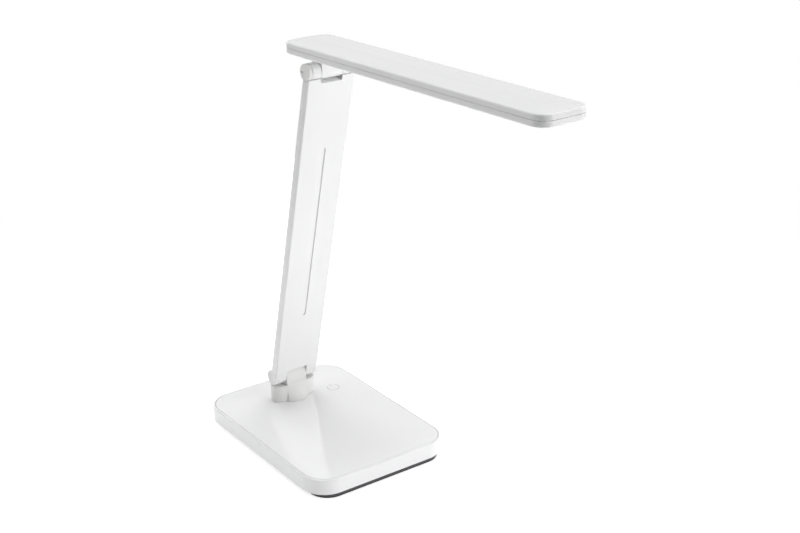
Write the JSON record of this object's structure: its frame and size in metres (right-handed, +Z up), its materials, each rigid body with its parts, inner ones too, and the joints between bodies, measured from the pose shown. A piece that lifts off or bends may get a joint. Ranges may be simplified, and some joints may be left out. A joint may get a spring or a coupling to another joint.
{
  "type": "folding LED desk lamp",
  "caption": "White folding desk lamp with a touch switch: weighted base, swivelling hinge block, flat arm and slim tilting light head.",
  "frame": {"origin": "centre of the underside of the base, on the surface that the lamp stands on", "axes": "+Z up, -Y towards the tip of the light head, +X to the right as seen from the front; both hinge pins lie along X"},
  "size_m": [0.126, 0.3542, 0.3368],
  "materials": {
    "gloss_white": "high-gloss white moulded plastic",
    "satin_white": "smooth white moulded plastic with a satin sheen",
    "hinge_white": "fine-textured slightly warmer white plastic",
    "black_rubber": "matt black rubber",
    "black_plastic": "black moulded plastic",
    "bare_steel": "plain steel",
    "bare_aluminium": "plain aluminium sheet",
    "zinc_screw": "zinc-plated steel",
    "circuit_board": "green circuit board",
    "board_white": "white solder mask",
    "copper": "bare copper",
    "symbol_grey": "light grey print",
    "opal": "milky opal plastic, evenly translucent",
    "reflector_white": "matt white",
    "led_yellow": "yellow phosphor",
    "wire_white": "soft white insulation"
  },
  "bodies": {
    "base": {"rubber_pad": "black_rubber", "base_plate": "black_plastic", "base_housing": "satin_white", "base_cover": "gloss_white", "steel_weight": "bare_steel", "control_board": "circuit_board", "board_parts": "black_plastic", "board_screws": "zinc_screw", "touch_pad": "copper", "power_symbol": "symbol_grey", "power_socket": "black_plastic", "base_screws": "zinc_screw", "weight_screws": "zinc_screw", "swivel_bush": "bare_steel"},
    "turret": {"swivel_disc": "hinge_white", "swivel_retainer": "bare_steel", "swivel_screws": "zinc_screw", "hinge_block": "hinge_white"},
    "arm": {"arm_front_cover": "satin_white", "arm_rear_shell": "satin_white", "arm_rail": "bare_steel", "arm_wire": "wire_white", "arm_screws": "zinc_screw", "lower_pin": "bare_steel", "lower_washers": "bare_steel", "lower_cap_left": "hinge_white", "lower_cap_right": "hinge_white", "upper_pin": "bare_steel", "upper_washers": "bare_steel", "upper_cap_left": "hinge_white", "upper_cap_right": "hinge_white"},
    "head": {"head_bracket": "satin_white", "head_lower_frame": "satin_white", "head_top_shell": "gloss_white", "diffuser": "opal", "reflector": "reflector_white", "leds": "led_yellow", "led_board": "board_white", "heat_spreader": "bare_aluminium", "bracket_screws": "zinc_screw", "led_screws": "zinc_screw", "head_wire": "wire_white"}
  },
  "joints": [
    {"name": "base_swivel", "type": "hinge", "parent": "base", "child": "turret", "pos_m": [0, 0.0472, 0.0173], "axis": [0, 0, 1], "range_deg": [-90, 90]},
    {"name": "arm_fold", "type": "hinge", "parent": "turret", "child": "arm", "pos_m": [0, 0.0472, 0.0391], "axis": [1, 0, 0], "range_deg": [-43.3, 76.7]},
    {"name": "head_fold", "type": "hinge", "parent": "arm", "child": "head", "pos_m": [0, -0.01632, 0.30779], "axis": [1, 0, 0], "range_deg": [-74.5, 105.5]}
  ]
}
